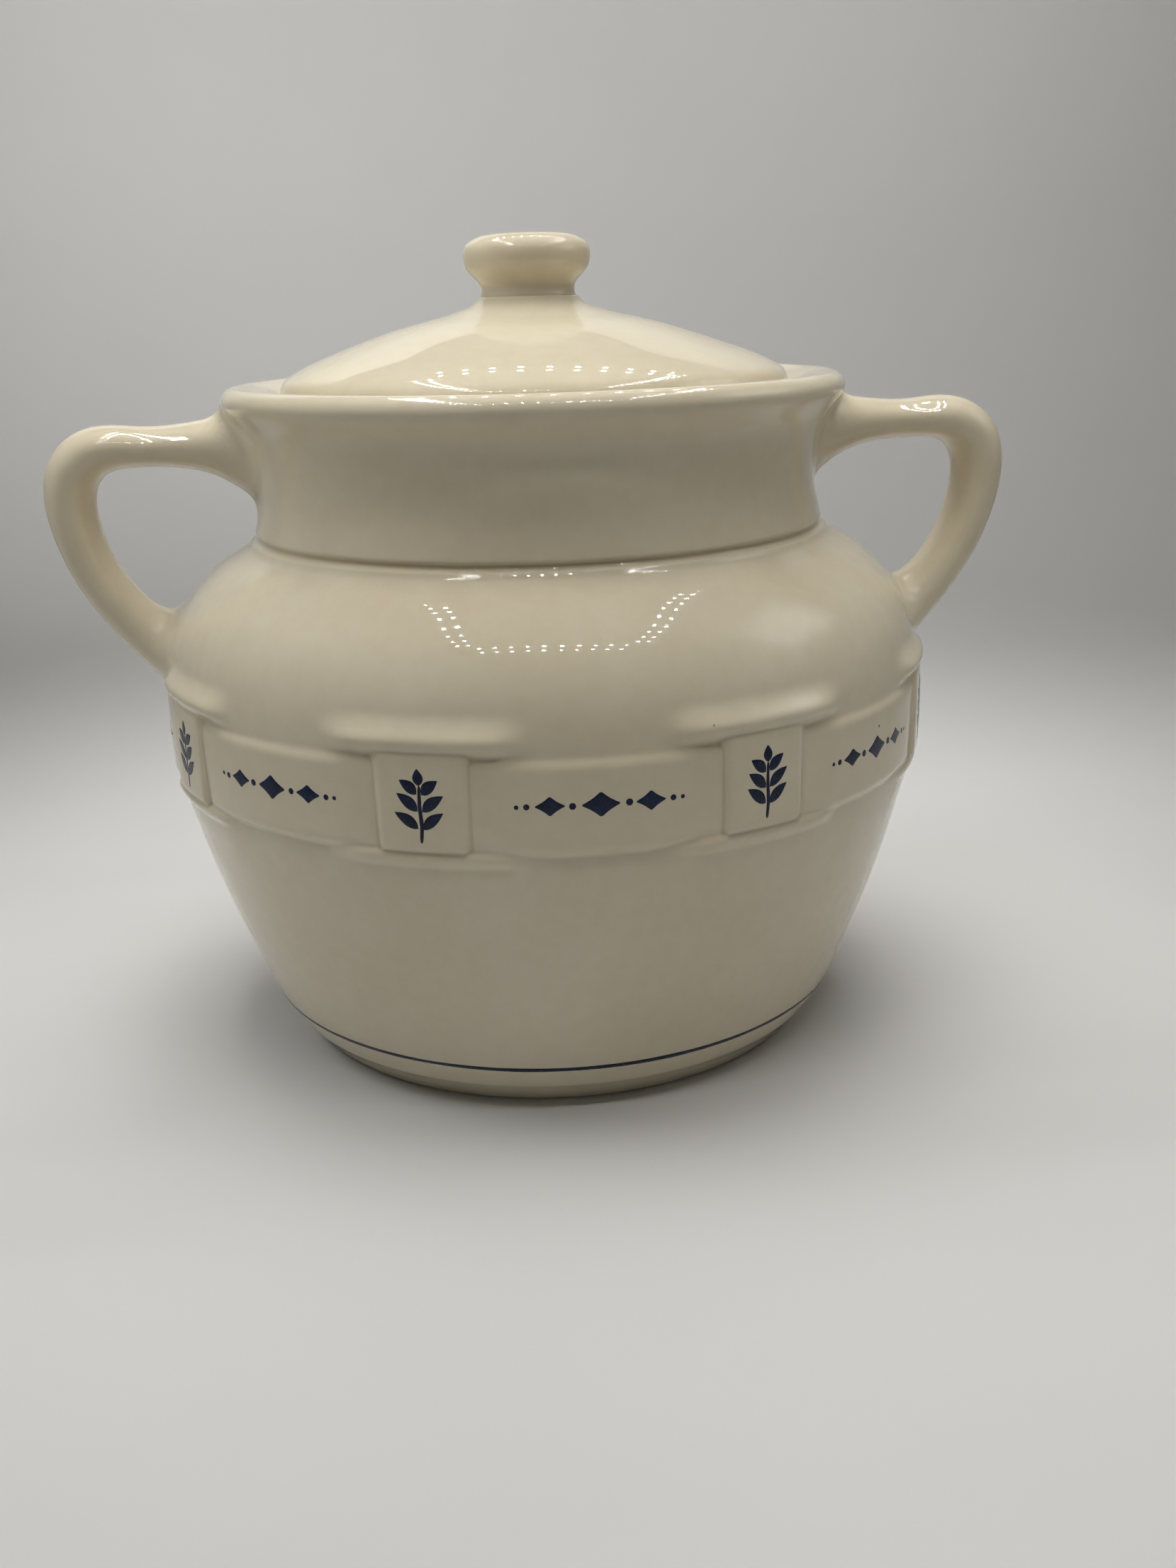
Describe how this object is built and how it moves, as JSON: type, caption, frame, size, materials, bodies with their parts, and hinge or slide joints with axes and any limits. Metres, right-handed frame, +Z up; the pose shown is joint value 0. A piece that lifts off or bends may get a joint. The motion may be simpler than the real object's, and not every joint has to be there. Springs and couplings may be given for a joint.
{
  "type": "bean pot",
  "caption": "Round-bellied glazed stoneware pot with a woven relief band, side loop handles and a loose domed lid with a knob, for baking and serving beans.",
  "frame": {"origin": "centre of the foot, on the plane that the pot rests on", "axes": "+Z up along the pot's axis; +X through the handles, to the right when the pot is seen from -Y; -Y is the side that faces a viewer"},
  "size_m": [0.2638, 0.21, 0.2153],
  "materials": {
    "ivory_glaze": "glossy ivory glaze with small soft unevenness",
    "bare_stoneware": "matt unglazed buff stoneware, on the foot and the lid's resting face",
    "blue_decor": "dark blue painted decoration under the same gloss"
  },
  "bodies": {
    "pot": {"pot_base": "ivory_glaze", "lower_wall": "ivory_glaze", "belly_wall": "ivory_glaze", "shoulder": "ivory_glaze", "neck_rim": "ivory_glaze", "woven_band": "ivory_glaze", "handle_left": "ivory_glaze", "handle_right": "ivory_glaze"},
    "lid": {"lid": "ivory_glaze", "lid_knob": "ivory_glaze"}
  },
  "joints": [
    {"name": "lid_lift", "type": "slide", "parent": "pot", "child": "lid", "axis": [0, 0, 1], "range_m": [0, 0.08]}
  ]
}
